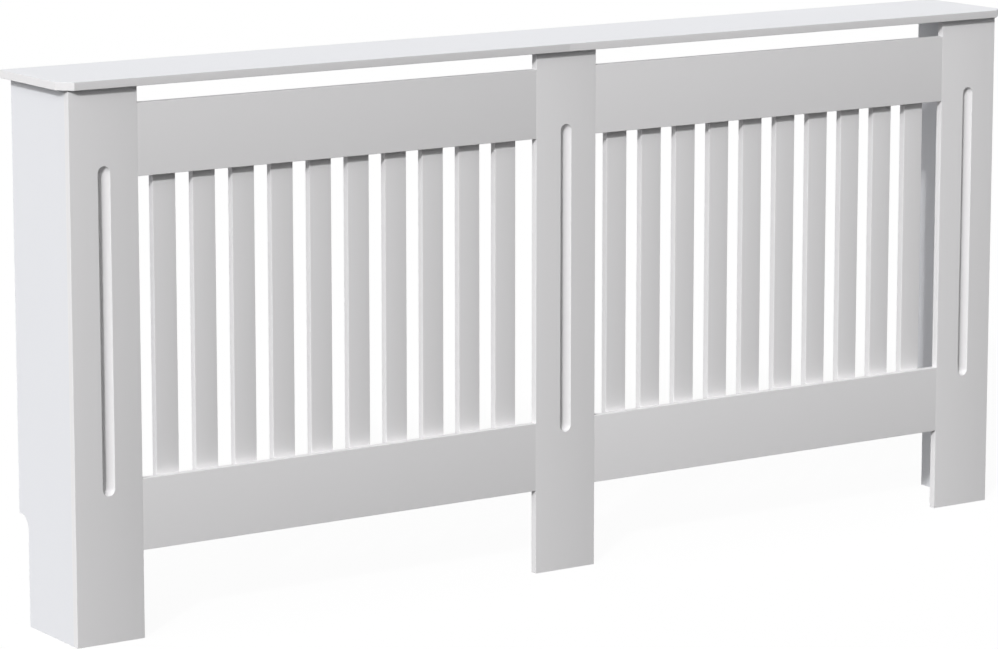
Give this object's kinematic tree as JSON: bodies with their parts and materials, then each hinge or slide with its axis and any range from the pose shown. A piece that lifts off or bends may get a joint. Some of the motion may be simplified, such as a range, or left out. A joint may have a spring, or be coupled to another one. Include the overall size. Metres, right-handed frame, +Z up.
{
  "type": "radiator cover cabinet",
  "caption": "Long shallow white cabinet that stands over a radiator: slatted grilles between fluted posts, side panels notched for skirting, a shelf on top, open back and underside.",
  "frame": {"origin": "on the floor, at the middle of the cabinet's outline", "axes": "+X to the viewer's right along the length, +Y towards the wall, +Z up"},
  "size_m": [1.72, 0.19, 0.815],
  "materials": {
    "painted_mdf": "white satin paint on MDF",
    "beech_dowel": "bare beech",
    "zinc_plated_steel": "bright zinc plating"
  },
  "bodies": {
    "root": {"top_shelf_left": "painted_mdf", "top_shelf_right": "painted_mdf", "side_panel_left": "painted_mdf", "side_panel_right": "painted_mdf", "post_left": "painted_mdf", "post_middle": "painted_mdf", "post_right": "painted_mdf", "top_rail_left": "painted_mdf", "top_rail_right": "painted_mdf", "bottom_rail_left": "painted_mdf", "bottom_rail_right": "painted_mdf", "slat_left_1": "painted_mdf", "slat_left_2": "painted_mdf", "slat_left_3": "painted_mdf", "slat_left_4": "painted_mdf", "slat_left_5": "painted_mdf", "slat_left_6": "painted_mdf", "slat_left_7": "painted_mdf", "slat_left_8": "painted_mdf", "slat_left_9": "painted_mdf", "slat_left_10": "painted_mdf", "slat_right_1": "painted_mdf", "slat_right_2": "painted_mdf", "slat_right_3": "painted_mdf", "slat_right_4": "painted_mdf", "slat_right_5": "painted_mdf", "slat_right_6": "painted_mdf", "slat_right_7": "painted_mdf", "slat_right_8": "painted_mdf", "slat_right_9": "painted_mdf", "slat_right_10": "painted_mdf", "rail_dowels": "beech_dowel", "post_dowels": "beech_dowel", "shelf_dowels": "beech_dowel", "slat_screws_left": "zinc_plated_steel", "slat_screws_right": "zinc_plated_steel", "rail_plates": "zinc_plated_steel", "rail_plate_screws": "zinc_plated_steel", "seam_plates": "zinc_plated_steel", "seam_plate_screws": "zinc_plated_steel", "corner_brackets": "zinc_plated_steel", "corner_bracket_screws": "zinc_plated_steel", "shelf_brackets": "zinc_plated_steel", "shelf_bracket_screws": "zinc_plated_steel", "wall_brackets": "zinc_plated_steel", "wall_bracket_screws": "zinc_plated_steel"}
  },
  "joints": []
}
